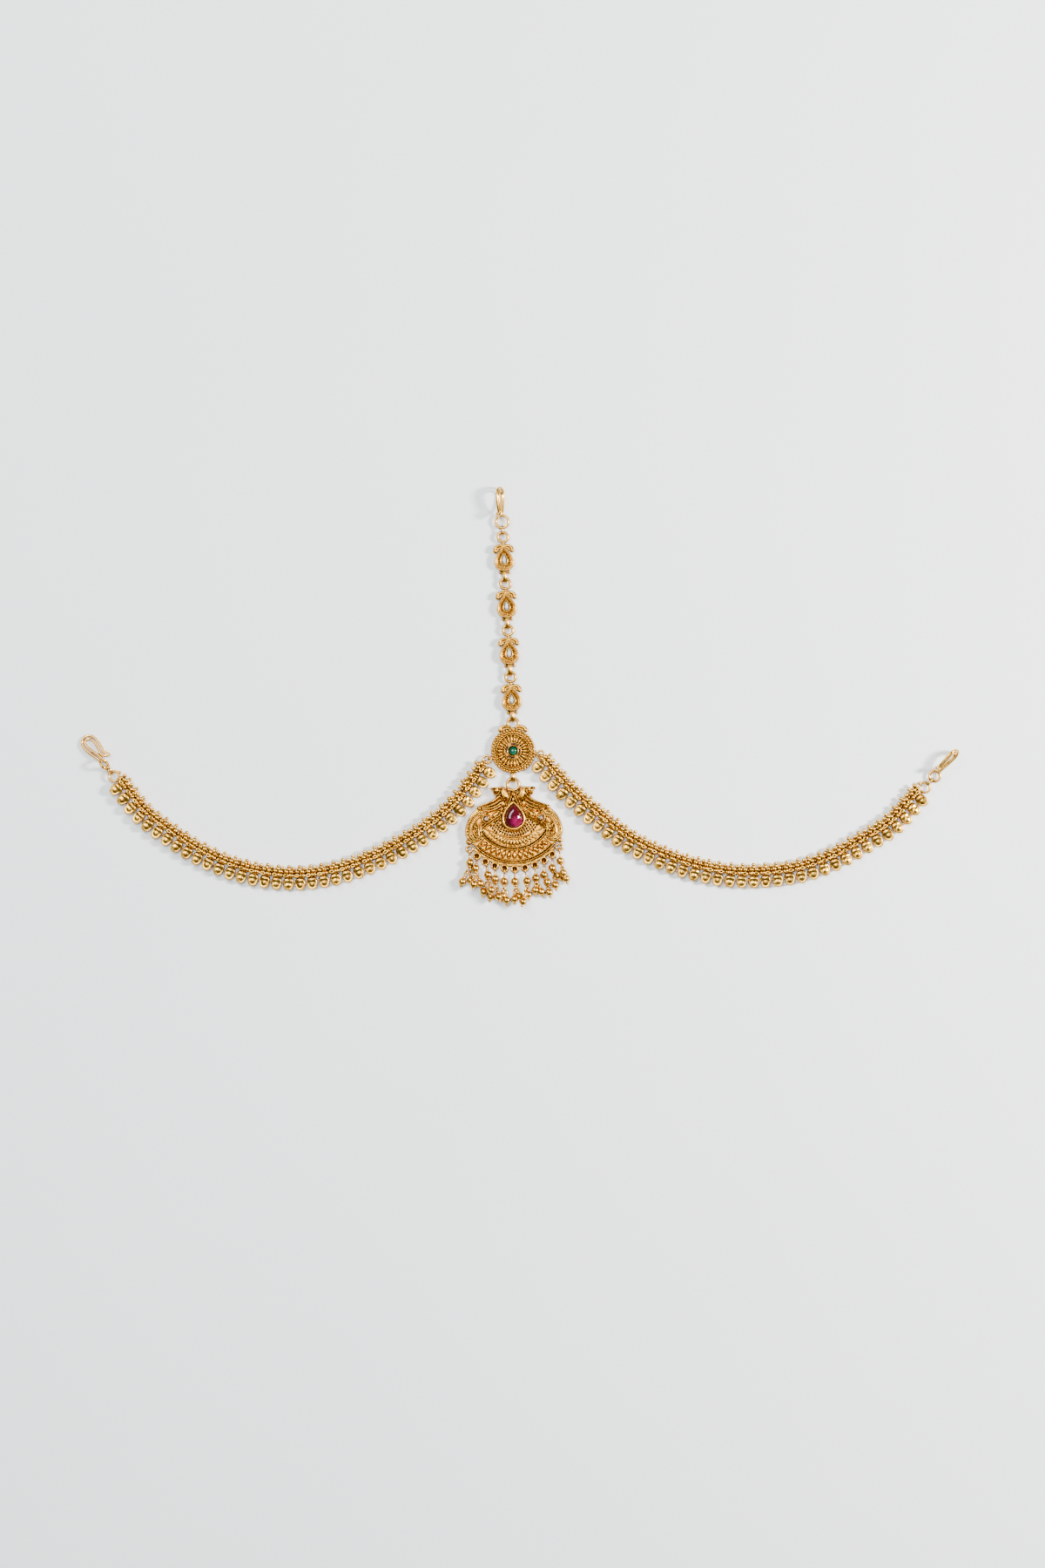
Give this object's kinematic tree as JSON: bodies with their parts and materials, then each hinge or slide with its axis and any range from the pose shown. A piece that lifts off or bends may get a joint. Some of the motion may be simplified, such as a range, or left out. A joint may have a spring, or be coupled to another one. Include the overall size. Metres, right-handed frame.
{
  "type": "matha patti",
  "caption": "Indian head ornament lying flat: stone-set centre chain, round boss, crescent pendant with bead drops, and two long side strings of drops, each ending in a wire hook.",
  "frame": {"origin": "centre of the medallion's flat back, on the plane that the ornament lies on", "axes": "+X along the ornament's width, towards the right end in the picture; +Y up the centre chain; +Z out of the front face"},
  "size_m": [0.3351, 0.1595, 0.0054],
  "materials": {
    "antique_gold": "antique gold plate, brown in the recesses, bright on the high spots",
    "bead_gold": "polished gold plate, slightly worn",
    "hook_gold": "bright drawn wire, gold plated",
    "red_stone": "polished, faceted",
    "green_stone": "polished cabochon",
    "clear_stone": "polished, faceted"
  },
  "bodies": {
    "root": {"top_hook": "hook_gold", "left_hook": "hook_gold", "right_hook": "hook_gold", "top_hook_link": "hook_gold", "left_hook_link": "hook_gold", "right_hook_link": "hook_gold", "chain_link_1": "antique_gold", "chain_stone_1": "clear_stone", "chain_link_2": "antique_gold", "chain_stone_2": "clear_stone", "chain_link_3": "antique_gold", "chain_stone_3": "clear_stone", "chain_link_4": "antique_gold", "chain_stone_4": "clear_stone", "medallion": "antique_gold", "medallion_stone": "green_stone", "pendant": "antique_gold", "pendant_stone": "red_stone", "drop_1": "bead_gold", "drop_2": "bead_gold", "drop_3": "bead_gold", "drop_4": "bead_gold", "drop_5": "bead_gold", "drop_6": "bead_gold", "drop_7": "bead_gold", "drop_8": "bead_gold", "drop_9": "bead_gold", "drop_10": "bead_gold", "drop_11": "bead_gold", "left_strand": "bead_gold", "right_strand": "bead_gold"}
  },
  "joints": []
}
